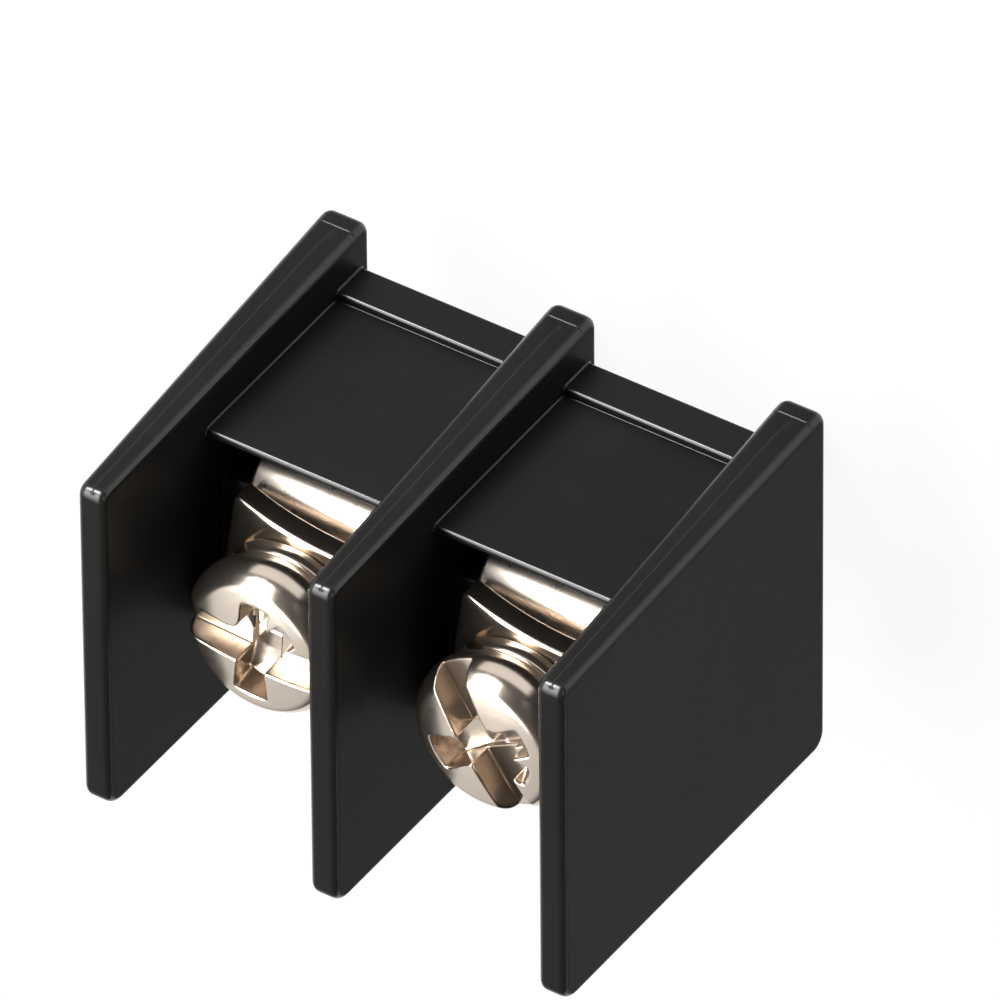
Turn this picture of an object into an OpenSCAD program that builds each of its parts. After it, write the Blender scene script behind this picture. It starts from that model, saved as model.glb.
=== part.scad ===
// Two-pole barrier terminal strip for a printed circuit board.
// X runs along the row, +Y points to the closed wall and +Z up the screws.
// The origin is on the board, midway between the two screw axes.

/* [Row] */
// Distance from one screw axis to the next
pitch = 9.5; // [9:0.5:13]

/* [Barriers] */
// Height of the barriers above the board
barrier_h = 16.8; // [15.2:0.2:20]
// Height of the block's underside above the board, where the barriers' ends stand on it
standoff = 0.6; // [0.3:0.1:1]
// Thickness of a barrier at its tip
barrier_tip_t = 1.15; // [0.9:0.05:1.4]
// Thickness of a barrier at the board
barrier_root_t = 1.8; // [1.4:0.05:2.2]
// Screw axis to the barrier's edge on the wire side, at the tip
barrier_wire_y = 7.45; // [6.8:0.05:9]
// Screw axis to the barrier's edge on the closed side, at the tip
barrier_closed_y = 7.45; // [6.8:0.05:9]
// How much the wire-side edge moves out from tip to board
wire_draft = 0.35; // [0.1:0.05:0.6]
// How much the closed-side edge moves out from tip to board
closed_draft = 0.6; // [0.1:0.05:0.8]
// Corner radius at the tip, wire side
tip_wire_r = 0.8; // [0.5:0.1:2]
// Corner radius at the tip, closed side
tip_closed_r = 0.5; // [0.4:0.05:1]
// Corner radius at the board, wire side
root_wire_r = 0.8; // [0.5:0.1:1.5]
// Corner radius at the board, closed side
root_closed_r = 0.5; // [0.45:0.05:1]
// Rounding of a barrier's edges at the tip
tip_edge_r = 0.3; // [0.1:0.05:0.4]
// Rounding of a barrier's edges at the board
root_edge_r = 0.4; // [0.2:0.05:0.45]

/* [Closed wall] */
// Height of the closed wall above the board
wall_h = 10.5; // [9.9:0.1:12.4]
// Screw axis to the wall's outer face
wall_y = 5.95; // [5.5:0.05:6.5]
// Thickness of the wall at its lip
lip_t = 0.4; // [0.3:0.05:0.8]
// Thickness of the wall at the floor
wall_root_t = 1.1; // [0.9:0.1:1.4]
// How far the base band stands out from the wall
band_step = 0.35; // [0.2:0.05:0.7]
// Thickness of the floor, and height of the base band
floor_t = 1.7; // [1.2:0.1:2.2]

/* [Pedestal] */
// Height above the board of the seat that the terminal lies on
seat_h = 8.6; // [7.8:0.1:9]
// Screw axis to the pedestal's face on the wire side
pedestal_wire_y = 4.4; // [4.1:0.1:5.5]
// Height of the shoulders beside the terminal, above the seat
shoulder_h = 0.9; // [0.4:0.1:1.1]
// Rounding of the shoulders' upper edges
shoulder_r = 0.45; // [0.1:0.05:0.5]
// Clearance of the hole round the terminal's collar and the screw's shank
shank_hole_gap = 0.15; // [0.1:0.05:0.3]
// Plastic left under that hole
hole_floor_t = 1.8; // [1:0.1:2.2]

/* [Terminal] */
// Width of the terminal strip
terminal_w = 6; // [5:0.1:6.4]
// Thickness of the strip
terminal_t = 0.9; // [0.7:0.05:0.95]
// Outer radius of its bend
bend_r = 1.6; // [1.1:0.1:2]
// Screw axis to the outer face of its leg
leg_y = 3.9; // [3.5:0.1:4.1]
// Screw axis to its free edge on the wire side
terminal_wire_y = 3.9; // [3.6:0.1:4.1]
// Radius of the corners of its free edge
terminal_corner_r = 0.8; // [0.3:0.1:1.2]
// Depth of the collar drawn down round the tapped hole
collar_h = 0.8; // [0.4:0.1:1.2]
// Wall of that collar
collar_t = 0.45; // [0.3:0.05:0.6]
// Middle of the terminal to the middle of the solder pin
pin_x = 2.2; // [0:0.1:2.3]
// Width of the solder pin
pin_w = 1.2; // [0.8:0.1:1.5]
// Length of the solder pin below the board seat
pin_l = 3.6; // [3:0.1:4.6]
// Chamfer of the solder pin's tip
pin_tip = 0.3; // [0.1:0.05:0.4]
// Clearance between the terminal and the moulding, each side
terminal_gap = 0.05; // [0.03:0.01:0.1]

/* [Clamp plate] */
// Width of the plate along the row
plate_w = 6.4; // [5.8:0.1:6.8]
// Depth of the plate
plate_d = 6.6; // [6:0.1:6.8]
// Thickness of the plate
plate_t = 1; // [0.8:0.05:1.1]
// Rise of the plate's arch
plate_arch = 0.4; // [0.2:0.05:0.5]
// Corner radius of the plate
plate_corner_r = 0.3; // [0.2:0.05:1]
// How far the plate has turned with the screw, clockwise
plate_turn = 8; // [0:1:12]
// Gap between the terminal and the plate's crown, as supplied
clamp_gap = 0.7; // [0.6:0.05:0.9]
// Radial clearance of the washers round the shank
washer_gap = 0.15; // [0.1:0.05:0.3]

/* [Lock washer] */
// Outer diameter of the split washer
lock_d = 5.9; // [5.4:0.1:6.6]
// Thickness of the split washer
lock_t = 0.7; // [0.5:0.05:1]
// Width of the split
split_w = 0.6; // [0.3:0.05:0.9]
// Slant of the split
split_slant = 45; // [10:1:50]

/* [Screw] */
// Largest diameter of the head
head_d = 6.3; // [6:0.1:7]
// Height of the head
head_h = 2.1; // [1.9:0.05:2.6]
// Radius of the head's rounded side
head_side_r = 1.3; // [1.2:0.05:1.4]
// Rise of the domed end face, measured over the head's full width
head_dome = 0.3; // [0.15:0.05:0.4]
// Height of the head's widest part over its bearing face
head_belly_h = 0.85; // [0.7:0.05:0.95]
// Diameter of the thread
thread_d = 3.5; // [3:0.1:3.7]
// Length of the screw under its head
screw_l = 8; // [6.5:0.1:8.6]
// Length of the screw's tapered point
point_l = 0.9; // [0.5:0.1:1.2]
// Diameter of that point's flat end
point_d = 2.3; // [1.8:0.1:2.8]
// Radial running clearance in the tapped hole
thread_gap = 0.05; // [0.02:0.01:0.09]
// Width of the slot
slot_w = 1.45; // [1:0.05:1.6]
// Depth of the slot
slot_depth = 0.95; // [0.6:0.05:1.1]
// Span of the cross recess at the face
cross_span = 4.2; // [3.4:0.1:4.4]
// Width of the cross recess's arms
cross_w = 1.1; // [0.8:0.05:1.2]
// Depth of the cross recess
cross_depth = 1.7; // [1.3:0.05:1.8]

/* [Hidden] */
$fn = 64;
hull_fn = 32;
poles = 2;
slot_angles = [-3, -59];
split_angles = [134, 128];

row_l = poles * pitch;
floor_top = standoff + floor_t;
terminal_top = seat_h + terminal_t;
plate_z = terminal_top + clamp_gap;
lock_z = plate_z + plate_t;
head_z = lock_z + lock_t;
thread_r = thread_d / 2 - thread_gap / 2;
tapped_r = thread_r + thread_gap;
washer_hole_r = thread_r + washer_gap;
collar_r = tapped_r + collar_t;
shank_hole_r = collar_r + shank_hole_gap;
leg_inner_y = leg_y - terminal_t;
pedestal_closed_y = leg_inner_y - terminal_gap;
inner_bend_r = bend_r - terminal_t;
arch_r = (pow(plate_w / 2, 2) + pow(plate_arch, 2)) / (2 * plate_arch);
head_side_x = head_d / 2 - head_side_r;
dome_r = (pow(head_d / 2, 2) + pow(head_dome, 2)) / (2 * head_dome);
eps = 0.01;
reach = 4 * barrier_h;

function pole_x(i) = (i - (poles - 1) / 2) * pitch;

// One rounded corner of a barrier: a thin disc with a round rim on each side
module barrier_corner(y, z, corner_r, thickness, edge_r)
    for (side = [-1, 1])
        translate([side * (thickness / 2 - edge_r), y, z])
            rotate([0, 90, 0])
                rotate_extrude($fn = hull_fn)
                    intersection() {
                        translate([corner_r - edge_r, 0])
                            circle(edge_r, $fn = hull_fn / 2);
                        translate([0, -edge_r])
                            square([corner_r, 2 * edge_r]);
                    }

// A drafted plate with rounded corners and edges
module barrier() {
    wire_tip = -barrier_wire_y;
    wire_root = -barrier_wire_y - wire_draft;
    closed_tip = barrier_closed_y;
    closed_root = barrier_closed_y + closed_draft;
    hull() {
        barrier_corner(wire_tip + tip_wire_r, barrier_h - tip_wire_r, tip_wire_r,
                       barrier_tip_t, tip_edge_r);
        barrier_corner(closed_tip - tip_closed_r, barrier_h - tip_closed_r, tip_closed_r,
                       barrier_tip_t, tip_edge_r);
        barrier_corner(wire_root + root_wire_r, root_wire_r, root_wire_r,
                       barrier_root_t, root_edge_r);
        barrier_corner(closed_root - root_closed_r, root_closed_r, root_closed_r,
                       barrier_root_t, root_edge_r);
    }
}

// Area from the lower left to a corner at y, z that is rounded to radius r
module rounded_area(left, down, y, z, r) {
    translate([-left, -down])
        square([left + y, down + z - r]);
    translate([-left, -down])
        square([left + y - r, down + z]);
    translate([y - r, z - r])
        circle(r);
}

// Section of pedestal, floor and closed wall, drawn with Y to the right and Z up
module base_section() {
    rounded_area(pedestal_wire_y, -standoff, pedestal_closed_y, seat_h, inner_bend_r);
    translate([0, standoff])
        square([wall_y + band_step, floor_t]);
    polygon([[wall_y - wall_root_t, floor_top - eps], [wall_y, floor_top - eps],
             [wall_y, wall_h], [wall_y - lip_t, wall_h]]);
}

// Side shoulder that keeps the terminal from turning, drawn like the base section
module shoulder_section()
    rounded_area(pedestal_wire_y, -standoff, pedestal_closed_y, seat_h + shoulder_h, shoulder_r);

// Extrudes a section drawn in Y and Z along the row, centred on X = 0
module along_row(length)
    translate([-length / 2, 0, 0])
        rotate([90, 0, 90])
            linear_extrude(length)
                children();

module housing() color([0.13, 0.13, 0.14]) {
    rail_w = (pitch - terminal_w) / 2 - terminal_gap;
    slot_d = terminal_t + 2 * terminal_gap;
    difference() {
        union() {
            along_row(row_l) base_section();
            for (i = [0 : poles])
                translate([(i - poles / 2) * pitch, 0, 0]) {
                    barrier();
                    for (side = [-1, 1])
                        if (abs(i + side / 2 - poles / 2) < poles / 2)
                            translate([side * rail_w / 2, 0, 0])
                                along_row(rail_w) shoulder_section();
                }
        }
        for (i = [0 : poles - 1])
            translate([pole_x(i), 0, 0]) {
                translate([0, 0, standoff + hole_floor_t])
                    cylinder(r = shank_hole_r, h = barrier_h);
                translate([pin_x - pin_w / 2 - terminal_gap, leg_inner_y - terminal_gap, standoff - eps])
                    cube([pin_w + 2 * terminal_gap, slot_d, floor_t + 2 * eps]);
            }
    }
}

// Bent strip, drawn with Y to the right and Z up
module terminal_section() {
    difference() {
        rounded_area(terminal_wire_y, pin_l, leg_y, terminal_top, bend_r);
        rounded_area(terminal_wire_y + eps, pin_l + eps, leg_inner_y, seat_h, inner_bend_r);
    }
}

// The strip seen along Y: full width above the floor, then the pin
module terminal_front() {
    foot = floor_top + terminal_gap;
    translate([-terminal_w / 2, foot])
        square([terminal_w, terminal_top - foot]);
    translate([pin_x, -pin_l + pin_tip]) {
        translate([-pin_w / 2, 0])
            square([pin_w, pin_l + foot + eps]);
        polygon([[-pin_w / 2, 0], [pin_w / 2, 0],
                 [pin_w / 2 - pin_tip, -pin_tip], [-pin_w / 2 + pin_tip, -pin_tip]]);
    }
}

// The strip seen from above, with the rounded corners of its free edge
module terminal_plan() {
    half_w = terminal_w / 2;
    translate([-half_w, -terminal_wire_y + terminal_corner_r])
        square([terminal_w, terminal_wire_y + leg_y - terminal_corner_r]);
    translate([-half_w + terminal_corner_r, -terminal_wire_y])
        square([terminal_w - 2 * terminal_corner_r, terminal_corner_r + eps]);
    for (side = [-1, 1])
        translate([side * (half_w - terminal_corner_r), -terminal_wire_y + terminal_corner_r])
            circle(terminal_corner_r);
}

module terminal(i) color([0.86, 0.82, 0.76])
    translate([pole_x(i), 0, 0])
        difference() {
            union() {
                intersection() {
                    along_row(terminal_w) terminal_section();
                    translate([0, reach / 2, 0])
                        rotate([90, 0, 0])
                            linear_extrude(reach) terminal_front();
                    translate([0, 0, -reach / 2])
                        linear_extrude(reach) terminal_plan();
                }
                translate([0, 0, seat_h - collar_h])
                    cylinder(r = collar_r, h = collar_h + terminal_t / 2);
            }
            translate([0, 0, seat_h - collar_h - 1])
                cylinder(r = tapped_r, h = collar_h + terminal_t + 2);
        }

// Arched strip section of the clamp plate, drawn with X to the right and Z up, crown at the top
module arch_section() {
    intersection() {
        difference() {
            translate([0, plate_t - arch_r])
                circle(arch_r, $fn = 256);
            translate([0, -arch_r])
                circle(arch_r, $fn = 256);
        }
        translate([-plate_w / 2, -plate_arch - plate_t])
            square([plate_w, plate_arch + 2 * plate_t]);
    }
}

module plate_plan() {
    w = plate_w - 2 * plate_corner_r;
    d = plate_d - 2 * plate_corner_r;
    square([plate_w + 2 * eps, d], center = true);
    square([w, plate_d], center = true);
    for (x = [-1, 1], y = [-1, 1])
        translate([x * w / 2, y * d / 2])
            circle(plate_corner_r);
}

module clamp_plate(i) color([0.84, 0.8, 0.74])
    translate([pole_x(i), 0, plate_z])
        rotate([0, 0, -plate_turn])
            difference() {
                intersection() {
                    translate([0, plate_d / 2, 0])
                        rotate([90, 0, 0])
                            linear_extrude(plate_d) arch_section();
                    translate([0, 0, -plate_d])
                        linear_extrude(2 * plate_d) plate_plan();
                }
                translate([0, 0, -1])
                    cylinder(r = washer_hole_r, h = plate_t + 2);
            }

module lock_washer(i) color([0.8, 0.77, 0.72])
    translate([pole_x(i), 0, lock_z])
        difference() {
            cylinder(d = lock_d, h = lock_t);
            translate([0, 0, -1])
                cylinder(r = washer_hole_r, h = lock_t + 2);
            rotate([0, 0, split_angles[i]])
                translate([0, -split_w / 2, lock_t / 2])
                    rotate([split_slant, 0, 0])
                        translate([0, 0, -2 * lock_t])
                            cube([lock_d, split_w, 4 * lock_t]);
        }

// Half section of the head, drawn from its axis: rounded side, domed face
module head_section() {
    intersection() {
        union() {
            translate([head_side_x, head_belly_h])
                circle(head_side_r);
            square([head_side_x, head_h]);
        }
        translate([0, head_h - dome_r])
            circle(dome_r, $fn = 256);
        square([head_d, head_h]);
    }
}

// Slot right across the head, and the tapered cross in its middle with one lobe between its arms
module drive_recess() {
    cross_r = cross_span / 2;
    bottom_r = cross_w / 2;
    translate([-head_d, -slot_w / 2, head_h - slot_depth])
        cube([2 * head_d, slot_w, head_h]);
    intersection() {
        for (a = [0, 45, 90, 180, 270])
            rotate([0, 0, a])
                translate([0, -cross_w / 2, 0])
                    cube([cross_span, cross_w, 2 * head_h]);
        union() {
            translate([0, 0, head_h - cross_depth])
                cylinder(r1 = bottom_r, r2 = cross_r, h = cross_depth + eps);
            translate([0, 0, head_h])
                cylinder(r = cross_r, h = 1);
        }
    }
}

module screw(i) color([0.85, 0.81, 0.76])
    translate([pole_x(i), 0, head_z])
        rotate([0, 0, slot_angles[i]]) {
            difference() {
                rotate_extrude() head_section();
                drive_recess();
            }
            translate([0, 0, -screw_l + point_l])
                cylinder(r = thread_r, h = screw_l - point_l + eps);
            translate([0, 0, -screw_l])
                cylinder(r1 = point_d / 2, r2 = thread_r, h = point_l);
        }

housing();
terminal(0);  // terminal_1
terminal(1);  // terminal_2
clamp_plate(0);  // clamp_plate_1
clamp_plate(1);  // clamp_plate_2
lock_washer(0);  // lock_washer_1
lock_washer(1);  // lock_washer_2
screw(0);  // screw_1
screw(1);  // screw_2
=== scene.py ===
import math

import bmesh
import bpy
import numpy as np
from mathutils import Matrix, Vector


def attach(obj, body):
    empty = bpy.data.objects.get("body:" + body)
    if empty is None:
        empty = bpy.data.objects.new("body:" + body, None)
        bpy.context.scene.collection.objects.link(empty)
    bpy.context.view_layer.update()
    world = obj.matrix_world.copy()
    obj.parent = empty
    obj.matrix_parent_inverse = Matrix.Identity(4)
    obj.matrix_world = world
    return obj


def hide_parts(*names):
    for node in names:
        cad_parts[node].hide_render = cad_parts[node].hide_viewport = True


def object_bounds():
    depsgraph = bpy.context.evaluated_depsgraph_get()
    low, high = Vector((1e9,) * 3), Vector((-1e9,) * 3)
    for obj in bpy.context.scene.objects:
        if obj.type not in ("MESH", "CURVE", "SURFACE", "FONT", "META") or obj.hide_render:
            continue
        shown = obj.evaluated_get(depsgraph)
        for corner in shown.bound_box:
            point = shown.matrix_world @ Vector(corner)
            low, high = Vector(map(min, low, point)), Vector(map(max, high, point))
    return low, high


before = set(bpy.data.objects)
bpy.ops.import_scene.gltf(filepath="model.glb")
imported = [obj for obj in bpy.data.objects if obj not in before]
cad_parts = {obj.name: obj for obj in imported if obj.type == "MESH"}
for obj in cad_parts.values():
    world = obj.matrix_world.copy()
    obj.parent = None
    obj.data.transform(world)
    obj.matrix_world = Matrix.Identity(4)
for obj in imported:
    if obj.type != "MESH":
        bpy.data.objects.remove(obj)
cadLow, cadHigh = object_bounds()
mm = 0.001
pitch = 9.5
poleX = [-pitch / 2, pitch / 2]
barrierX = [-pitch, 0.0, pitch]
nearAxis = 0.0001  # turned profiles start this close to their axis


# the mesh helpers take points and sizes in millimetres
def meshObject(name, points, faces):
    mesh = bpy.data.meshes.new(name)
    mesh.from_pydata([tuple(p) for p in np.asarray(points, float) * mm], [], faces)
    mesh.validate()
    piece = bpy.data.objects.new(name, mesh)
    bpy.context.scene.collection.objects.link(piece)
    return piece


def faceOutwards(piece):
    mergeGap = 1e-7  # in metres
    work = bmesh.new()
    work.from_mesh(piece.data)
    bmesh.ops.remove_doubles(work, verts=work.verts, dist=mergeGap)
    bmesh.ops.recalc_face_normals(work, faces=work.faces)
    work.to_mesh(piece.data)
    work.free()
    return piece


def plainMesh(piece):
    # the modifiers' result becomes the piece's own mesh
    bpy.context.view_layer.update()
    evaluated = piece.evaluated_get(bpy.context.evaluated_depsgraph_get())
    mesh = bpy.data.meshes.new_from_object(evaluated)
    piece.modifiers.clear()
    old = piece.data
    piece.data = mesh
    bpy.data.meshes.remove(old)
    mesh.name = piece.name
    return piece


def combine(piece, tools, operation):
    # one boolean after another; the tools are used up
    for tool in tools:
        step = piece.modifiers.new("combine", "BOOLEAN")
        step.operation, step.solver, step.object = operation, "MANIFOLD", tool
        plainMesh(piece)
        bpy.data.objects.remove(tool)


def smoothShade(piece, angle, weighted=True):
    piece.data.shade_smooth()
    piece.data.set_sharp_from_angle(angle=math.radians(angle))
    if weighted:
        step = piece.modifiers.new("normals", "WEIGHTED_NORMAL")
        step.keep_sharp, step.weight = True, 60
        plainMesh(piece)
    return piece


def loft(rings, name, caps=True):
    # closed rings of equally many points, joined one to the next
    rings = [np.asarray(r, float) for r in rings]
    size = len(rings[0])
    faces = []
    for a in range(len(rings) - 1):
        for k in range(size):
            n = (k + 1) % size
            faces.append((a * size + k, a * size + n, (a + 1) * size + n, (a + 1) * size + k))
    if caps:
        faces.append(tuple(range(size)))
        faces.append(tuple((len(rings) - 1) * size + k for k in range(size))[::-1])
    return faceOutwards(meshObject(name, np.vstack(rings), faces))


def turned(profile, steps, name):
    # a closed profile of (radius, height) points turned about the Z axis
    angles = np.arange(steps) * 2 * math.pi / steps
    rings = [np.array([[r * math.cos(a), r * math.sin(a), z] for r, z in profile]) for a in angles]
    size = len(profile)
    faces = []
    for a in range(steps):
        b = (a + 1) % steps
        for k in range(size):
            n = (k + 1) % size
            faces.append((a * size + k, b * size + k, b * size + n, a * size + n))
    return faceOutwards(meshObject(name, np.vstack(rings), faces))


def roundedOutline(corners, steps=6):
    # corners are (y, z, radius); each radius becomes an arc
    points = []
    count = len(corners)
    for k in range(count):
        here = np.array(corners[k][:2], float)
        before = np.array(corners[k - 1][:2], float) - here
        after = np.array(corners[(k + 1) % count][:2], float) - here
        before /= np.linalg.norm(before)
        after /= np.linalg.norm(after)
        radius = corners[k][2]
        if radius <= 0:
            points.append(here)
            continue
        half = math.acos(np.clip(before @ after, -1, 1)) / 2
        middle = (before + after) / np.linalg.norm(before + after)
        centre = here + middle * radius / math.sin(half)
        start = here + before * radius / math.tan(half) - centre
        end = here + after * radius / math.tan(half) - centre
        sweep = math.atan2(start[0] * end[1] - start[1] * end[0], start @ end)
        for s in range(steps + 1):
            a = sweep * s / steps
            points.append(centre + [start[0] * math.cos(a) - start[1] * math.sin(a),
                                    start[0] * math.sin(a) + start[1] * math.cos(a)])
    return np.array(points)


def outlineNormals(points):
    # outward offset directions of an outline that runs counterclockwise
    back = points - np.roll(points, 1, axis=0)
    on = np.roll(points, -1, axis=0) - points
    back /= np.linalg.norm(back, axis=1)[:, None]
    on /= np.linalg.norm(on, axis=1)[:, None]
    mean = back + on
    mean /= np.linalg.norm(mean, axis=1)[:, None]
    normal = np.stack([mean[:, 1], -mean[:, 0]], axis=1)
    lean = (normal * np.stack([on[:, 1], -on[:, 0]], axis=1)).sum(axis=1)
    shortestLean = 0.4  # keeps the offset of a sharp corner short
    return normal / np.clip(lean, shortestLean, 1)[:, None]


# three drafted barriers on a moulded base with its closed wall, pedestals and shoulders
barrierSizes = {
    "height": 16.8, "tipHalf": 0.575, "rootHalf": 0.9, "draftFrom": 0.6, "draftTo": 16.3,
    "tipWireY": -7.45, "tipClosedY": 7.45, "rootWireY": -7.8, "rootClosedY": 8.05,
    "tipWireRadius": 0.8, "tipClosedRadius": 0.5, "rootWireRadius": 0.8, "rootClosedRadius": 0.5,
    "tipEdge": 0.3, "rootEdge": 0.4,
    "seamWidth": 0.07, "seamDepth": 0.022, "seamStart": 0.06, "seamRunIn": 0.1,
    "crossSeam": 0.95, "crossSeamDepth": 0.03,
    "crossSeamRows": (-0.06, -0.025, 0, 0.025, 0.06, 0.3),
}
baseSizes = {
    "underside": 0.6, "floorTop": 2.3, "bandY": 6.3, "wallY": 5.95, "lipY": 5.68,
    "wallFootY": 4.85, "wallTop": 10.5, "lipOuterRadius": 0.18, "lipInnerRadius": 0.05,
    "bandRadius": 0.18, "wallFillet": 0.03, "innerFillet": 0.3, "pedestalFillet": 0.08,
    "pedestalWireY": -4.4, "pedestalClosedY": 2.95, "seat": 8.6, "bendRadius": 0.72,
    "shoulderFoot": 1.0, "shoulderTop": 9.5, "shoulderHalf": 3.05, "shoulderRadius": 0.45,
    "shoulderEdge": 0.03, "fillet": 0.1, "edge": 0.1,
    "holeRadius": 2.375, "holeFloor": 2.4, "holeTop": 14, "holeEdge": 0.1,
    # the leg's slot: how far aside, how wide, from and to which y and z, and its corners
    "slotAside": 2.2, "slotWidth": 1.3, "slotY": (2.95, 3.95), "slotZ": (0.2, 3.0),
    "slotCorner": 0.1,
}


def barrierHalf(z):
    # half a barrier's thickness at a height
    v = barrierSizes
    rise = v["draftTo"] - v["draftFrom"]
    share = np.clip((np.asarray(z, float) - v["draftFrom"]) / rise, 0, 1)
    return v["rootHalf"] + (v["tipHalf"] - v["rootHalf"]) * share


def barrierMesh(x, name):
    v = barrierSizes
    corners = [(v["rootWireY"], 0, v["rootWireRadius"]),
               (v["rootClosedY"], 0, v["rootClosedRadius"]),
               (v["tipClosedY"], v["height"], v["tipClosedRadius"]),
               (v["tipWireY"], v["height"], v["tipWireRadius"])]
    outline = roundedOutline(corners, 8)
    # more points on the closed side's edge, where the parting lines run
    low = max(range(len(outline)), key=lambda k: (outline[k][0], -outline[k][1]))
    high = low + 1
    a, b = outline[low], outline[high]
    c = v["crossSeam"]
    extra = []
    for z in [c + gap for gap in v["crossSeamRows"]] + list(np.linspace(2, 16, 15)):
        if a[1] + 0.01 < z < b[1] - 0.01:
            extra.append(a + (b - a) * (z - a[1]) / (b[1] - a[1]))
    outline = np.vstack([outline[:high], extra, outline[high:]])
    normals = outlineNormals(outline)
    edgePoints = 7
    rings = []
    for p, n in zip(outline, normals):
        edge = v["rootEdge"] + (v["tipEdge"] - v["rootEdge"]) * np.clip(p[1] / v["height"], 0, 1)
        # the parting line runs where the edge faces the closed side, above the cross seam
        facing = np.clip((n[0] / np.hypot(*n) - 0.5) / 0.3, 0, 1)
        above = float(np.clip((p[1] - c - v["seamStart"]) / v["seamRunIn"], 0, 1))
        groove = v["seamDepth"] * facing * above
        dip = v["crossSeamDepth"] if abs(p[1] - c) < 0.01 and n[0] > 0.9 else 0.0
        ring = []
        for turn in np.linspace(0, math.pi / 2, edgePoints):
            inset = edge * (1 - math.sin(turn))
            q = p - n * (inset + dip)
            half = float(barrierHalf(q[1]))
            ring.append((-half + edge * (1 - math.cos(turn)), q[0], q[1]))
        w = v["seamWidth"]
        for across, deep in ((-w / 2, 0), (-w / 5, 0.85), (0, 1), (w / 5, 0.85), (w / 2, 0)):
            q = p - n * (groove * deep + dip)
            ring.append((across, q[0], q[1]))
        ring += [(-r[0], r[1], r[2]) for r in ring[:edgePoints][::-1]]
        rings.append(np.array(ring) + [x, 0, 0])
    count, size = len(rings), len(rings[0])
    faces = []
    for a in range(count):
        b = (a + 1) % count
        for k in range(size - 1):
            faces.append((a * size + k, b * size + k, b * size + k + 1, a * size + k + 1))
    faces.append(tuple(a * size for a in range(count)))
    faces.append(tuple(a * size + size - 1 for a in range(count))[::-1])
    return faceOutwards(meshObject(name, np.vstack(rings), faces))


def alongRow(outline, stations, name):
    # stations are (barrier's x or None, side, distance from its face or x, offset)
    normals = outlineNormals(outline)
    rings = []
    for barrier, side, distance, offset in stations:
        yz = outline + normals * offset
        if barrier is None:
            x = np.full(len(yz), float(distance))
        else:
            x = barrier + side * (barrierHalf(yz[:, 1]) + distance)
        rings.append(np.stack([x, yz[:, 0], yz[:, 1]], axis=1))
    return loft(rings, name)


def filletStations(barrier, side, radius):
    # from inside the barrier out to where its fillet has run out
    found = [(None, side, barrier, radius * 0.8)]
    for turn in (12, 25, 40, 55, 72, 90):
        a = math.radians(turn)
        found.append((barrier, side, radius * (1 - math.cos(a)), radius * (1 - math.sin(a))))
    return found


def makeHousing():
    v = baseSizes
    # along the underside, up the closed wall, over its lip and back across the pedestal
    base = roundedOutline([
        (v["pedestalWireY"], v["underside"], v["edge"]),
        (v["bandY"], v["underside"], v["bandRadius"]),
        (v["bandY"], v["floorTop"], v["bandRadius"]),
        (v["wallY"], v["floorTop"], v["wallFillet"]),
        (v["wallY"], v["wallTop"], v["lipOuterRadius"]),
        (v["lipY"], v["wallTop"], v["lipInnerRadius"]),
        (v["wallFootY"], v["floorTop"], v["innerFillet"]),
        (v["pedestalClosedY"], v["floorTop"], v["pedestalFillet"]),
        (v["pedestalClosedY"], v["seat"], v["bendRadius"]),
        (v["pedestalWireY"], v["seat"], v["edge"])])
    stations = []
    for left, right in zip(barrierX[:-1], barrierX[1:]):
        stations += filletStations(left, 1, v["fillet"])
        stations += filletStations(right, -1, v["fillet"])[::-1]
    # both bays meet inside the middle barrier, where one station is enough
    clean = [stations[0]]
    for s in stations[1:]:
        if s[0] is None and clean[-1][0] is None:
            continue
        clean.append(s)
    housing = alongRow(base, clean, "housing_shell")
    shoulder = roundedOutline([
        (v["pedestalWireY"], v["shoulderFoot"], 0), (v["pedestalClosedY"], v["shoulderFoot"], 0),
        (v["pedestalClosedY"], v["shoulderTop"], v["shoulderRadius"]),
        (v["pedestalWireY"], v["shoulderTop"], v["edge"])])
    shoulders = []
    for x in poleX:
        for side in (-1, 1):
            start = x + side * v["shoulderHalf"]
            rows = []
            for turn in (0, 25, 50, 75, 90):
                a = math.radians(turn)
                rows.append((None, side, start + side * v["shoulderEdge"] * (1 - math.cos(a)),
                             -v["shoulderEdge"] * (1 - math.sin(a))))
            rows += filletStations(x + side * pitch / 2, -side, v["shoulderEdge"])[::-1]
            shoulders.append(alongRow(shoulder, rows, f"shoulder_{x}_{side}"))
    barriers = [barrierMesh(x, f"barrier_{n}") for n, x in enumerate(barrierX)]
    combine(housing, shoulders + barriers, "UNION")
    cuts = []
    for x in poleX:
        r, low, edge, top = v["holeRadius"], v["holeFloor"], v["holeEdge"], v["holeTop"]
        hole = turned([(nearAxis, low), (r - edge, low), (r, low + edge), (r, v["seat"] - edge),
                       (r + edge, v["seat"]), (r + edge, top), (nearAxis, top)], 64, "hole")
        hole.data.transform(Matrix.Translation((x * mm, 0, 0)))
        aside, wide, corner = v["slotAside"], v["slotWidth"], v["slotCorner"]
        left, right = x + aside - wide / 2, x + aside + wide / 2
        nearY, farY = v["slotY"]
        slot = roundedOutline([(left, nearY, corner), (right, nearY, corner),
                               (right, farY, corner), (left, farY, corner)], 3)
        rings = [np.column_stack([slot, np.full(len(slot), z)]) for z in v["slotZ"]]
        cuts += [hole, loft(rings, "slot")]
    combine(housing, cuts, "DIFFERENCE")
    return smoothShade(housing, 32)


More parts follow.
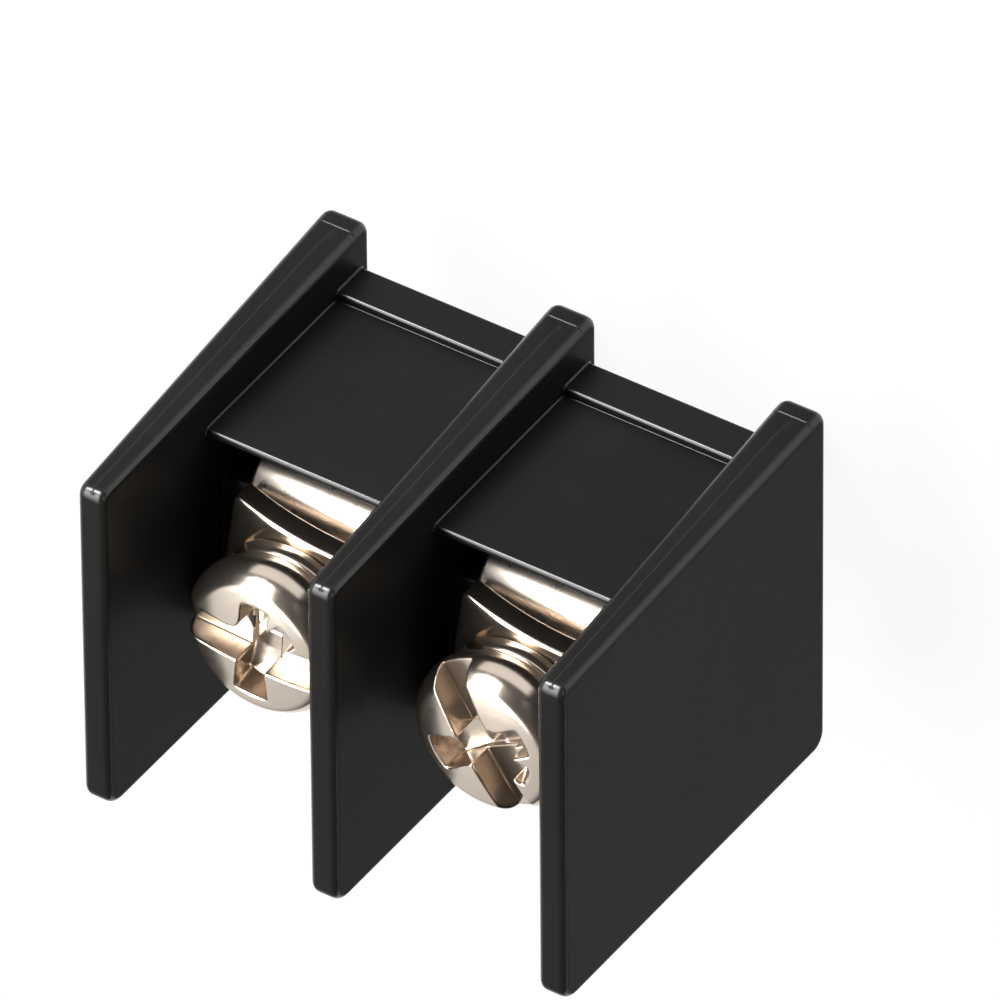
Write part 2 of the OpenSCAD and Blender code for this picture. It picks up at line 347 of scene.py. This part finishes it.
# one bent strip for each pole, with a drawn and tapped collar and a solder pin
terminalSizes = {
    "halfWidth": 3.0, "thickness": 0.9, "top": 9.5, "bend": 1.6, "legY": 3.9, "wireY": -3.9,
    "corner": 0.8, "edge": 0.13, "foot": 2.35, "footRadius": 0.18,
    "pinX": 2.2, "pinHalf": 0.6, "pinEnd": -3.6, "pinTip": 0.3, "pinTaper": 0.12,
    "tapped": 1.775, "collar": 2.225, "collarEnd": 7.8, "collarEdge": 0.1,
    # how much the tapped hole opens, from how far below the top to how far over it
    "flare": 0.2, "flareDepth": 0.15, "flareOver": 0.05,
}


def makeTerminal(x, name):
    v = terminalSizes
    t, e, r = v["thickness"] / 2, v["edge"], v["corner"]
    # y, z, lean of the strip's face in degrees from +Z, middle's x, half width, half thickness
    stations = []
    flatZ = v["top"] - t
    for s in (0, 0.02, 0.06, 0.13, 0.22, 0.35, 0.5, 0.65, 0.8):
        half = v["halfWidth"] - r + math.sqrt(max(r * r - (r - s) ** 2, 0))
        thin = t - e + math.sqrt(max(e * e - max(e - s, 0) ** 2, 0))
        stations.append((v["wireY"] + s, flatZ, 0, 0, half, thin))
    bendY, bendZ, mid = v["legY"] - v["bend"], v["top"] - v["bend"], v["bend"] - t
    for turn in range(0, 91, 9):
        a = math.radians(turn)
        stations.append((bendY + mid * math.sin(a), bendZ + mid * math.cos(a), turn, 0,
                         v["halfWidth"], t))
    legY, curve = v["legY"] - t, v["footRadius"]
    for turn in (0, 30, 60, 90):
        a = math.radians(turn)
        stations.append((legY, v["foot"] + curve * (1 - math.sin(a)), 90, 0,
                         v["halfWidth"] - curve * (1 - math.cos(a)), t))
    stations.append((legY, v["foot"] - 0.001, 90, v["pinX"], v["pinHalf"], t))
    stations.append((legY, v["pinEnd"] + v["pinTip"], 90, v["pinX"], v["pinHalf"], t))
    stations.append((legY, v["pinEnd"], 90, v["pinX"], v["pinHalf"] - v["pinTip"],
                     t - v["pinTaper"]))
    rings = []
    for y, z, lean, middle, half, thin in stations:
        edge = min(e, thin * 0.9)
        section = roundedOutline([(-half, -thin, edge), (half, -thin, edge),
                                  (half, thin, edge), (-half, thin, edge)], 4)
        a = math.radians(lean)
        rings.append(np.stack([x + middle + section[:, 0], y + section[:, 1] * math.sin(a),
                               z + section[:, 1] * math.cos(a)], axis=1))
    strip = loft(rings, name)
    c, h, low, top = v["collar"], v["tapped"], v["collarEnd"], v["top"]
    rim, flare = v["collarEdge"], v["flare"]
    collar = turned([(h - flare, low + rim), (h + rim, low), (c - rim, low), (c, low + rim),
                     (c, flatZ), (h - flare, flatZ)], 64, "collar")
    past = 1  # the cutter runs this far past both ends
    bore = turned([(nearAxis, low - past), (h, low - past), (h, top - v["flareDepth"]),
                   (h + flare, top + v["flareOver"]), (h + flare, top + past),
                   (nearAxis, top + past)], 64, "bore")
    for tool in (collar, bore):
        tool.data.transform(Matrix.Translation((x * mm, 0, 0)))
    combine(strip, [collar], "UNION")
    combine(strip, [bore], "DIFFERENCE")
    return smoothShade(strip, 32)


# arched square clamp plates, turned a little with the screw
plateSizes = {
    "width": 6.4, "depth": 6.6, "thickness": 1.0, "arch": 0.4, "corner": 0.3, "turn": -8,
    "bottom": 10.2, "hole": 1.875, "holeEdge": 0.08, "edge": 0.14,
}


def makePlate(x, name):
    v = plateSizes
    e, low, high = v["edge"], 0.0, v["thickness"]

    def outlineAt(inset):
        w, d, r = v["width"] / 2 - inset, v["depth"] / 2 - inset, max(v["corner"] - inset, 0.05)
        sides = []
        points = roundedOutline([(-w, -d, r), (w, -d, r), (w, d, r), (-w, d, r)], 6)
        for k in range(len(points)):
            a, b = points[k], points[(k + 1) % len(points)]
            sides.append(a)
            if np.linalg.norm(b - a) > 2:
                sides += [a + (b - a) * s / 16 for s in range(1, 16)]
        return np.array(sides)

    outer = outlineAt(0)
    angles = np.arctan2(outer[:, 1], outer[:, 0])
    circle = np.stack([np.cos(angles), np.sin(angles)], axis=1)
    rings = []

    def addRing(points, z):
        rings.append(np.column_stack([points, np.full(len(points), z)]))

    # up the hole, over the top, round the outer edge and back along the underside
    holeEdge = v["holeEdge"]
    addRing(circle * v["hole"], low + holeEdge)
    addRing(circle * v["hole"], high - holeEdge)
    addRing(circle * (v["hole"] + holeEdge * 0.3), high - holeEdge * 0.3)
    addRing(circle * (v["hole"] + holeEdge), high)
    inner = outlineAt(e)
    for share in (0.25, 0.5, 0.75):
        addRing(circle * (v["hole"] + holeEdge) * (1 - share) + inner * share, high)
    for turn in (90, 68, 45, 22, 0):
        a = math.radians(turn)
        addRing(outlineAt(e * (1 - math.cos(a))), high - e * (1 - math.sin(a)))
    for turn in (0, 22, 45, 68, 90):
        a = math.radians(turn)
        addRing(outlineAt(e * (1 - math.cos(a))), low + e * (1 - math.sin(a)))
    for share in (0.75, 0.5, 0.25):
        addRing(circle * (v["hole"] + holeEdge) * (1 - share) + inner * share, low)
    addRing(circle * (v["hole"] + holeEdge), low)
    addRing(circle * (v["hole"] + holeEdge * 0.3), low + holeEdge * 0.3)
    rings.append(rings[0].copy())
    radius = ((v["width"] / 2) ** 2 + v["arch"] ** 2) / (2 * v["arch"])
    for ring in rings:
        ring[:, 2] += np.sqrt(radius ** 2 - ring[:, 0] ** 2) - radius
    plate = loft(rings, name, caps=False)
    plate.data.transform(Matrix.Translation((x * mm, 0, v["bottom"] * mm))
                         @ Matrix.Rotation(math.radians(v["turn"]), 4, "Z"))
    return smoothShade(plate, 40)


# split lock washers; their middles are the splits' directions in degrees
washerSizes = {
    "outer": 2.95, "inner": 1.875, "thickness": 0.7, "bottom": 11.2, "split": 0.6, "slant": 45,
    "edge": 0.14, "innerEdge": 0.1, "middles": (134, 128),
}


def makeWasher(x, middle, name):
    v = washerSizes
    section = roundedOutline([(v["inner"], 0, v["innerEdge"]), (v["outer"], 0, v["edge"]),
                              (v["outer"], v["thickness"], v["edge"]),
                              (v["inner"], v["thickness"], v["innerEdge"])], 4)
    half = v["split"] / 2
    steps = 120
    rings = []
    for k in range(steps + 1):
        share = k / steps
        ring = []
        for r, z in section:
            gap = math.asin(half / r) / math.cos(math.radians(v["slant"]))
            lean = -math.tan(math.radians(v["slant"])) * (z - v["thickness"] / 2) / r
            a = math.radians(middle) + lean + gap + share * (2 * math.pi - 2 * gap)
            ring.append((r * math.cos(a), r * math.sin(a), z))
        rings.append(np.array(ring) + [x, 0, v["bottom"]])
    return smoothShade(loft(rings, name), 40)


# screws with a domed head, a slot with a tapered cross, and a threaded shank
headSizes = {
    "radius": 3.15, "height": 2.1, "sideRadius": 1.3, "belly": 0.85, "dome": 0.3,
    "slotHalf": 0.725, "slotDepth": 1.15, "crossHalf": 0.55, "lobeHalf": 0.45,
    "openFlare": 0.15, "flareFrom": 0.7, "flareOver": 1.5, "flareMost": 1.3,
    # reach at the top, reach at the floor, depth, and how steeply the floor rises outwards
    "closedArm": (2.1, 1.8, 1.4), "openArm": (2.2, 1.95, 1.35, 0.14),
    "lobeArm": (2.05, 1.75, 0.8, -0.1),
    # how wide the faces run into each other
    "domeEdge": 0.07, "underEdge": 0.1, "floorEdge": 0.05, "armEndEdge": 0.12,
    "armJoin": 0.04, "recessEdge": 0.08,
    "slotJoin": 0.08, "leftCurve": 0.5, "leftCurveOver": 0.4,
    "base": 11.9, "angles": (-3, -59), "grid": 0.045, "gridMargin": 0.15, "gridTop": 2.3,
}
shankSizes = {
    "radius": 1.725, "length": 8.0, "point": 0.9, "pointRadius": 1.15, "root": 0.4,
    "threadPitch": 0.6, "threadDepth": 0.33, "runOut": -0.1, "rowGap": 0.04,
}


def softMax(a, b, blend):
    h = np.clip(blend - np.abs(a - b), 0, None) / blend
    return np.maximum(a, b) + h * h * blend / 4


def softMin(a, b, blend):
    return -softMax(-a, -b, blend)


def headField(x, y, z):
    # signed distance to the head's surface, below zero inside; x runs along the slot
    v = headSizes
    out = np.hypot(x, y)
    core = v["radius"] - v["sideRadius"]
    side = np.hypot(np.clip(out - core, 0, None), z - v["belly"]) - v["sideRadius"]
    ball = (v["radius"] ** 2 + v["dome"] ** 2) / (2 * v["dome"])
    dome = np.sqrt(out ** 2 + (z - v["height"] + ball) ** 2) - ball
    body = softMax(softMax(side, dome, v["domeEdge"]), -z, v["underEdge"])
    soft = v["floorEdge"]
    slot = softMax(np.abs(y) - v["slotHalf"], v["height"] - v["slotDepth"] - z, soft)
    half = v["crossHalf"]
    down = v["height"] - z

    def arm(across, reach, bottomReach, depth, rise=0.0):
        # a cross arm: its end slopes in towards its own floor, which may rise outwards
        spread = (reach - bottomReach) / depth
        end = (out - reach + down * spread) / math.hypot(1, spread)
        floorRise = rise * np.clip(out - v["slotHalf"], 0, None)
        bottom = (down - depth + floorRise) / math.hypot(1, rise)
        return softMax(softMax(across, end, v["armEndEdge"]), bottom, soft)

    closed = softMax(arm(np.abs(x) - half, *v["closedArm"]), -y, soft)
    # the open arm widens outwards
    opening = np.clip((-y - v["flareFrom"]) / v["flareOver"], 0, v["flareMost"])
    flare = half + v["openFlare"] * opening
    opened = softMax(arm(np.abs(x) - flare, *v["openArm"]), y, soft)
    # a small lobe lies between the closed arm and the slot's right end
    lobeSide = np.abs(x - y) / math.sqrt(2) - v["lobeHalf"]
    lobe = softMax(arm(lobeSide, *v["lobeArm"]), -(x + y), soft)
    cross = softMin(softMin(closed, opened, v["armJoin"]), lobe, v["armJoin"])
    # the slot runs into the closed arm's left side in a wide curve
    width = v["leftCurveOver"]
    leftShare = v["leftCurve"] * np.clip(-x / width, 0, 1) * np.clip(y / width, 0, 1)
    recess = softMin(slot, cross, v["slotJoin"] + leftShare)
    return softMax(body, -recess, v["recessEdge"])


def surfaceNet(field, low, high, step):
    # closed surface where field is zero: one point per crossed cell, moved onto the surface
    axes = [np.arange(low[k], high[k] + step, step) for k in range(3)]
    grid = np.meshgrid(*axes, indexing="ij")
    values = field(*grid)
    inside = values < 0
    cut = [slice(None, -1), slice(1, None)]
    total = sum(inside[cut[a], cut[b], cut[c]].astype(int)
                for a in (0, 1) for b in (0, 1) for c in (0, 1))
    mixed = (total > 0) & (total < 8)
    index = -np.ones(mixed.shape, int)
    index[mixed] = np.arange(mixed.sum())
    where = np.argwhere(mixed)
    points = np.asarray(low) + (where + 0.5) * step
    for _ in range(6):
        f = field(*points.T)
        h = step * 0.2
        slope = np.stack([(field(*(points + d).T) - field(*(points - d).T)) / (2 * h)
                          for d in np.eye(3) * h], axis=1)
        move = -f[:, None] * slope / np.clip((slope ** 2).sum(axis=1), 0.2, None)[:, None]
        points = points + np.clip(move, -step * 0.5, step * 0.5)
    faces = []
    for axis in range(3):
        order = (axis, (axis + 1) % 3, (axis + 2) % 3)
        solid = np.transpose(inside, order)
        cell = np.transpose(index, order)
        a, b = solid[:-1, 1:-1, 1:-1], solid[1:, 1:-1, 1:-1]
        around = [cell[:, :-1, :-1], cell[:, 1:, :-1], cell[:, 1:, 1:], cell[:, :-1, 1:]]
        for crossed, turn in (((a & ~b), 1), ((~a & b), -1)):
            quad = np.stack([c[crossed] for c in around[::turn]], axis=1)
            faces += quad.tolist()
    return points, faces


def threadTree():
    # cuts a helical thread into a plain turned shank: how deep follows height and angle
    tree = bpy.data.node_groups.new("rolledThread", "GeometryNodeTree")
    face = tree.interface
    face.new_socket("Geometry", in_out="INPUT", socket_type="NodeSocketGeometry")
    for title, value in (("Thread Pitch", 0.0006), ("Thread Depth", 0.0003),
                         ("Run Out Height", -0.0003), ("Outer Radius", 0.0017)):
        s = face.new_socket(title, in_out="INPUT", socket_type="NodeSocketFloat")
        s.default_value = value
    face.new_socket("Finish", in_out="INPUT", socket_type="NodeSocketMaterial")
    face.new_socket("Geometry", in_out="OUTPUT", socket_type="NodeSocketGeometry")
    nodes, links = tree.nodes, tree.links
    start, end = nodes.new("NodeGroupInput"), nodes.new("NodeGroupOutput")

    def math2(operation, a, b=None, c=None, clampIt=False):
        n = nodes.new("ShaderNodeMath")
        n.operation, n.use_clamp = operation, clampIt
        for k, value in enumerate((a, b, c)):
            if value is None:
                continue
            if isinstance(value, (int, float)):
                n.inputs[k].default_value = value
            else:
                links.new(value, n.inputs[k])
        return n.outputs[0]

    place = nodes.new("GeometryNodeInputPosition")
    split = nodes.new("ShaderNodeSeparateXYZ")
    links.new(place.outputs[0], split.inputs[0])
    x, y, z = split.outputs
    angle = math2("DIVIDE", math2("ARCTAN2", y, x), 2 * math.pi)
    turns = math2("DIVIDE", z, start.outputs["Thread Pitch"])
    phase = math2("FRACT", math2("SUBTRACT", turns, angle))
    flank = math2("MULTIPLY", math2("ABSOLUTE", math2("SUBTRACT", phase, 0.5)), 2.0)
    # small flats on the crest and in the root
    crest = math2("MULTIPLY_ADD", flank, 1.35, -0.2, clampIt=True)
    # the thread comes to its full depth over 0.4 mm
    below = math2("SUBTRACT", start.outputs["Run Out Height"], z)
    fade = math2("MULTIPLY", below, 2500.0, clampIt=True)
    out = math2("SQRT", math2("ADD", math2("MULTIPLY", x, x), math2("MULTIPLY", y, y)))
    onSide = math2("DIVIDE", out, start.outputs["Outer Radius"], clampIt=True)
    depth = math2("MULTIPLY", math2("SUBTRACT", 1.0, crest), start.outputs["Thread Depth"])
    depth = math2("MULTIPLY", math2("MULTIPLY", depth, fade), math2("POWER", onSide, 4.0))
    inward = math2("DIVIDE", math2("MULTIPLY", depth, -1.0), math2("MAXIMUM", out, 1e-6))
    offset = nodes.new("ShaderNodeCombineXYZ")
    links.new(math2("MULTIPLY", x, inward), offset.inputs[0])
    links.new(math2("MULTIPLY", y, inward), offset.inputs[1])
    move = nodes.new("GeometryNodeSetPosition")
    links.new(start.outputs["Geometry"], move.inputs["Geometry"])
    links.new(offset.outputs[0], move.inputs["Offset"])
    real = nodes.new("GeometryNodeRealizeInstances")
    finish = nodes.new("GeometryNodeSetMaterial")
    links.new(move.outputs[0], real.inputs[0])
    links.new(real.outputs[0], finish.inputs["Geometry"])
    links.new(start.outputs["Finish"], finish.inputs["Material"])
    links.new(finish.outputs[0], end.inputs[0])
    return tree


def setInputs(step, values):
    # a modifier's inputs go by their identifiers
    for item in step.node_group.interface.items_tree:
        if item.in_out == "INPUT" and item.name in values:
            step[item.identifier] = values[item.name]


def makeShank(tree, material):
    v = shankSizes
    rows = [(nearAxis, -v["length"]), (v["pointRadius"], -v["length"])]
    for s in np.linspace(0, 1, 24)[1:]:
        rows.append((v["pointRadius"] + (v["radius"] - v["pointRadius"]) * s,
                     -v["length"] + v["point"] * s))
    for z in np.arange(-v["length"] + v["point"] + v["rowGap"], v["root"], v["rowGap"]):
        rows.append((v["radius"], z))
    rows.append((nearAxis, v["root"]))
    shank = turned(rows, 72, "shank")
    step = shank.modifiers.new("thread", "NODES")
    step.node_group = tree
    setInputs(step, {"Thread Pitch": v["threadPitch"] * mm, "Thread Depth": v["threadDepth"] * mm,
                     "Run Out Height": v["runOut"] * mm, "Outer Radius": v["radius"] * mm,
                     "Finish": material})
    return plainMesh(shank)


def makeScrews(material):
    v = headSizes
    reach = v["radius"] + v["gridMargin"]
    points, faces = surfaceNet(headField, (-reach, -reach, -v["gridMargin"]),
                               (reach, reach, v["gridTop"]), v["grid"])
    head = meshObject("head", points, faces)
    combine(head, [makeShank(threadTree(), material)], "UNION")
    smoothShade(head, 50, weighted=False)
    screws = []
    for x, angle, n in zip(poleX, v["angles"], (1, 2)):
        screw = bpy.data.objects.new(f"screw_body_{n}", head.data.copy())
        bpy.context.scene.collection.objects.link(screw)
        screw.data.transform(Matrix.Translation((x * mm, 0, v["base"] * mm))
                             @ Matrix.Rotation(math.radians(angle), 4, "Z"))
        screws.append(screw)
    bpy.data.objects.remove(head)
    return screws


# finishes: moulded black plastic and two bright platings
def newMaterial(name):
    material = bpy.data.materials.new(name)
    material.use_nodes = True
    nodes, links = material.node_tree.nodes, material.node_tree.links
    shader = nodes["Principled BSDF"]
    place = nodes.new("ShaderNodeTexCoord")
    return material, nodes, links, shader, place


def noise(nodes, links, place, scale, detail):
    texture = nodes.new("ShaderNodeTexNoise")
    texture.inputs["Scale"].default_value = scale
    texture.inputs["Detail"].default_value = detail
    links.new(place.outputs["Object"], texture.inputs["Vector"])
    return texture.outputs["Fac"]


def ranged(nodes, links, value, low, high, fromLow=0.3, fromHigh=0.7):
    step = nodes.new("ShaderNodeMapRange")
    step.inputs["From Min"].default_value, step.inputs["From Max"].default_value = fromLow, fromHigh
    step.inputs["To Min"].default_value, step.inputs["To Max"].default_value = low, high
    links.new(value, step.inputs["Value"])
    return step.outputs["Result"]


def blended(nodes, links, value, first, second):
    mix = nodes.new("ShaderNodeMix")
    mix.data_type = "RGBA"
    mix.inputs[6].default_value, mix.inputs[7].default_value = (*first, 1), (*second, 1)
    links.new(value, mix.inputs["Factor"])
    return mix.outputs[2]


def largestOf(nodes, links, values):
    largest = values[0]
    for value in values[1:]:
        most = nodes.new("ShaderNodeMath")
        most.operation = "MAXIMUM"
        links.new(largest, most.inputs[0])
        links.new(value, most.inputs[1])
        largest = most.outputs[0]
    return largest


def addSurfaceDetail(nodes, links, shader, place, v):
    # soft clouds of colour, with a fine grain in roughness and height
    cloud = noise(nodes, links, place, *v["clouds"])
    links.new(blended(nodes, links, ranged(nodes, links, cloud, 0, 1), v["low"], v["high"]),
              shader.inputs["Base Color"])
    fine = noise(nodes, links, place, *v["grains"])
    links.new(ranged(nodes, links, fine, *v["roughness"]), shader.inputs["Roughness"])
    bump = nodes.new("ShaderNodeBump")
    bump.inputs["Strength"].default_value = v["grain"]
    bump.inputs["Distance"].default_value = v["grainHeight"]
    links.new(fine, bump.inputs["Height"])
    links.new(bump.outputs[0], shader.inputs["Normal"])


# clouds and grains are a noise's scale and detail, and a grain's height is in metres
plasticLook = {
    "low": (0.0086, 0.0081, 0.0077), "high": (0.0112, 0.0106, 0.0101),
    "clouds": (260, 3), "grains": (5200, 2), "grain": 0.012, "grainHeight": 0.00001,
    "roughness": (0.44, 0.50), "specular": 0.035, "shineRoughness": 0.2,
    # a face whose normal is this close to an axis counts as flat
    "edgeShine": 1.0, "faceShine": 0.04, "edgeUpTo": 0.82, "faceFrom": 0.985,
}


def makePlastic():
    v = plasticLook
    material, nodes, links, shader, place = newMaterial("moulded_black")
    addSurfaceDetail(nodes, links, shader, place, v)
    shader.inputs["Specular IOR Level"].default_value = v["specular"]
    shader.inputs["Coat Roughness"].default_value = v["shineRoughness"]
    # the mould's polished edges shine more than the flat faces
    split = nodes.new("ShaderNodeSeparateXYZ")
    links.new(place.outputs["Normal"], split.inputs[0])
    parts = []
    for output in split.outputs:
        part = nodes.new("ShaderNodeMath")
        part.operation = "ABSOLUTE"
        links.new(output, part.inputs[0])
        parts.append(part.outputs[0])
    links.new(ranged(nodes, links, largestOf(nodes, links, parts), v["edgeShine"], v["faceShine"],
                     v["edgeUpTo"], v["faceFrom"]), shader.inputs["Coat Weight"])
    return material


platingLooks = {
    "bright_plated_strip": {
        "low": (0.70, 0.62, 0.54), "high": (0.75, 0.67, 0.59), "roughness": (0.27, 0.30),
        "clouds": (420, 4), "grains": (2400, 1), "grain": 0.008, "grainHeight": 0.000003,
        "metallic": 0.985,
    },
    "bright_plated_steel": {
        "low": (0.62, 0.53, 0.44), "high": (0.67, 0.58, 0.49), "roughness": (0.18, 0.21),
        "clouds": (420, 4), "grains": (3000, 1), "grain": 0.008, "grainHeight": 0.000003,
        "metallic": 0.985,
    },
}


def makePlating(name):
    v = platingLooks[name]
    material, nodes, links, shader, place = newMaterial(name)
    shader.inputs["Metallic"].default_value = v["metallic"]
    addSurfaceDetail(nodes, links, shader, place, v)
    return material


studio = {
    "floorSize": 4.0, "floorDrop": 0.0003, "floorColour": (0.95, 0.95, 0.95),
    "floorLight": 0.92, "bright": (0.97, 0.985, 1.0), "dim": (0.10, 0.095, 0.09),
    "glowWay": (-0.9, -0.35, 0.6), "glowRange": (0.45, 0.98), "aimHeight": 9,
    "lamps": [
        # name, direction from the object, distance and size in metres, radiance, colour
        ("softbox", (-0.38, 0.39, 0.84), 0.30, (0.16, 0.66), 8.0, (1.0, 0.99, 0.98)),
        ("strip", (-0.40, 0.82, 0.42), 0.28, (0.08, 0.06), 26.0, (0.93, 0.96, 1.0)),
        ("rim", (0.80, 0.30, 0.50), 0.35, (0.14, 0.14), 1.2, (1.0, 0.99, 0.98)),
    ],
}


def rayKinds(nodes, links):
    # 1 where the camera, a reflection or a clear body looks at the white surroundings
    path = nodes.new("ShaderNodeLightPath")
    kinds = ("Is Camera Ray", "Is Glossy Ray", "Is Transmission Ray")
    return largestOf(nodes, links, [path.outputs[kind] for kind in kinds])


def makeFloor(lowest):
    v = studio
    half = v["floorSize"] / 2 / mm
    z = lowest / mm - v["floorDrop"] / mm
    floor = meshObject("studio_floor", [(-half, -half, z), (half, -half, z), (half, half, z),
                                        (-half, half, z)], [(0, 1, 2, 3)])
    material = bpy.data.materials.new("pale_floor")
    material.use_nodes = True
    nodes, links = material.node_tree.nodes, material.node_tree.links
    nodes.clear()
    out, paint = nodes.new("ShaderNodeOutputMaterial"), nodes.new("ShaderNodeBsdfDiffuse")
    paint.inputs["Color"].default_value = (*v["floorColour"], 1)
    glow, mix = nodes.new("ShaderNodeEmission"), nodes.new("ShaderNodeMixShader")
    share = nodes.new("ShaderNodeMath")
    share.operation = "MULTIPLY"
    share.inputs[1].default_value = v["floorLight"]
    links.new(rayKinds(nodes, links), share.inputs[0])
    links.new(share.outputs[0], mix.inputs[0])
    links.new(paint.outputs[0], mix.inputs[1])
    links.new(glow.outputs[0], mix.inputs[2])
    links.new(mix.outputs[0], out.inputs["Surface"])
    floor.data.materials.append(material)


def makeWorld():
    v = studio
    world = bpy.data.worlds.new("studio_world")
    bpy.context.scene.world = world
    world.use_nodes = True
    nodes, links = world.node_tree.nodes, world.node_tree.links
    place, split = nodes.new("ShaderNodeTexCoord"), nodes.new("ShaderNodeSeparateXYZ")
    links.new(place.outputs["Generated"], split.inputs[0])
    # the room is brightest along glowWay, above the first pole's end of the row
    across, along = nodes.new("ShaderNodeMath"), nodes.new("ShaderNodeMath")
    up = nodes.new("ShaderNodeMath")
    for step, weight, source in zip((across, along, up), v["glowWay"], split.outputs):
        step.operation = "MULTIPLY_ADD"
        step.inputs[1].default_value, step.inputs[2].default_value = weight, 0.0
        links.new(source, step.inputs[0])
    links.new(across.outputs[0], along.inputs[2])
    links.new(along.outputs[0], up.inputs[2])
    glow = ranged(nodes, links, up.outputs[0], 0, 1, *v["glowRange"])
    links.new(blended(nodes, links, glow, v["dim"], v["bright"]),
              nodes["Background"].inputs["Color"])


def makeLamps():
    for name, direction, distance, size, radiance, colour in studio["lamps"]:
        data = bpy.data.lights.new(name, "AREA")
        data.shape = "RECTANGLE"
        data.size, data.size_y = size
        data.energy = radiance * math.pi * size[0] * size[1]
        data.color = colour
        lamp = bpy.data.objects.new(name, data)
        bpy.context.scene.collection.objects.link(lamp)
        way = Vector(direction).normalized()
        side = (Vector((1, 0, 0)) - way * way.x).normalized()
        lamp.location = way * distance + Vector((0, 0, studio["aimHeight"] * mm))
        lamp.rotation_euler = Matrix((side, way.cross(side), way)).transposed().to_euler()


cameraPlace = {
    "target": (0, 0.4, 8.8), "back": (0.4027, 0.6687, 0.6250), "roll": -0.463,
    "distance": 919.8, "aside": 1.990, "above": 3.796, "lens": 941.3, "sensor": 36,
    "clipNear": 0.01, "clipFar": 10,
}


def makeCamera():
    v = cameraPlace
    back = Vector(v["back"]).normalized()
    right = Vector((0, 1, 0)).cross(back).normalized()
    up = back.cross(right)
    roll = math.radians(v["roll"])
    right, up = (right * math.cos(roll) + up * math.sin(roll),
                 up * math.cos(roll) - right * math.sin(roll))
    data = bpy.data.cameras.new("camera")
    data.lens, data.sensor_width = v["lens"], v["sensor"]
    data.clip_start, data.clip_end = v["clipNear"], v["clipFar"]
    camera = bpy.data.objects.new("camera", data)
    bpy.context.scene.collection.objects.link(camera)
    place = Vector(v["target"]) + back * v["distance"] + right * v["aside"] + up * v["above"]
    turn = Matrix((right, up, back)).transposed().to_4x4()
    camera.matrix_world = Matrix.Translation(place * mm) @ turn
    bpy.context.scene.camera = camera


# every piece rides on a body, stands for a node and takes a finish
def finishPiece(piece, name, material, body, node):
    piece.name = piece.data.name = name
    piece.data.materials.clear()
    piece.data.materials.append(material)
    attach(piece, body)
    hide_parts(node)


bpy.context.scene.view_settings.view_transform = "Standard"
makeCamera()
makeWorld()
makeLamps()
makeFloor(cadLow[2])
print("camera, lamps and floor are in place")

plastic = makePlastic()
stripFinish = makePlating("bright_plated_strip")
steelFinish = makePlating("bright_plated_steel")

finishPiece(makeHousing(), "moulded_housing", plastic, "base", "housing")
print("housing moulded")
screws = makeScrews(steelFinish)
print("screws rolled")
for n, x in enumerate(poleX, 1):
    finishPiece(makeTerminal(x, "strip"), f"bent_terminal_{n}", stripFinish, "base",
                f"terminal_{n}")
    finishPiece(makePlate(x, "plate"), f"arched_clamp_plate_{n}", steelFinish, f"clamp_{n}",
                f"clamp_plate_{n}")
    finishPiece(makeWasher(x, washerSizes["middles"][n - 1], "washer"), f"split_lock_washer_{n}",
                steelFinish, f"clamp_{n}", f"lock_washer_{n}")
    finishPiece(screws[n - 1], f"threaded_screw_{n}", steelFinish, f"turning_screw_{n}",
                f"screw_{n}")
print("metal parts fitted")
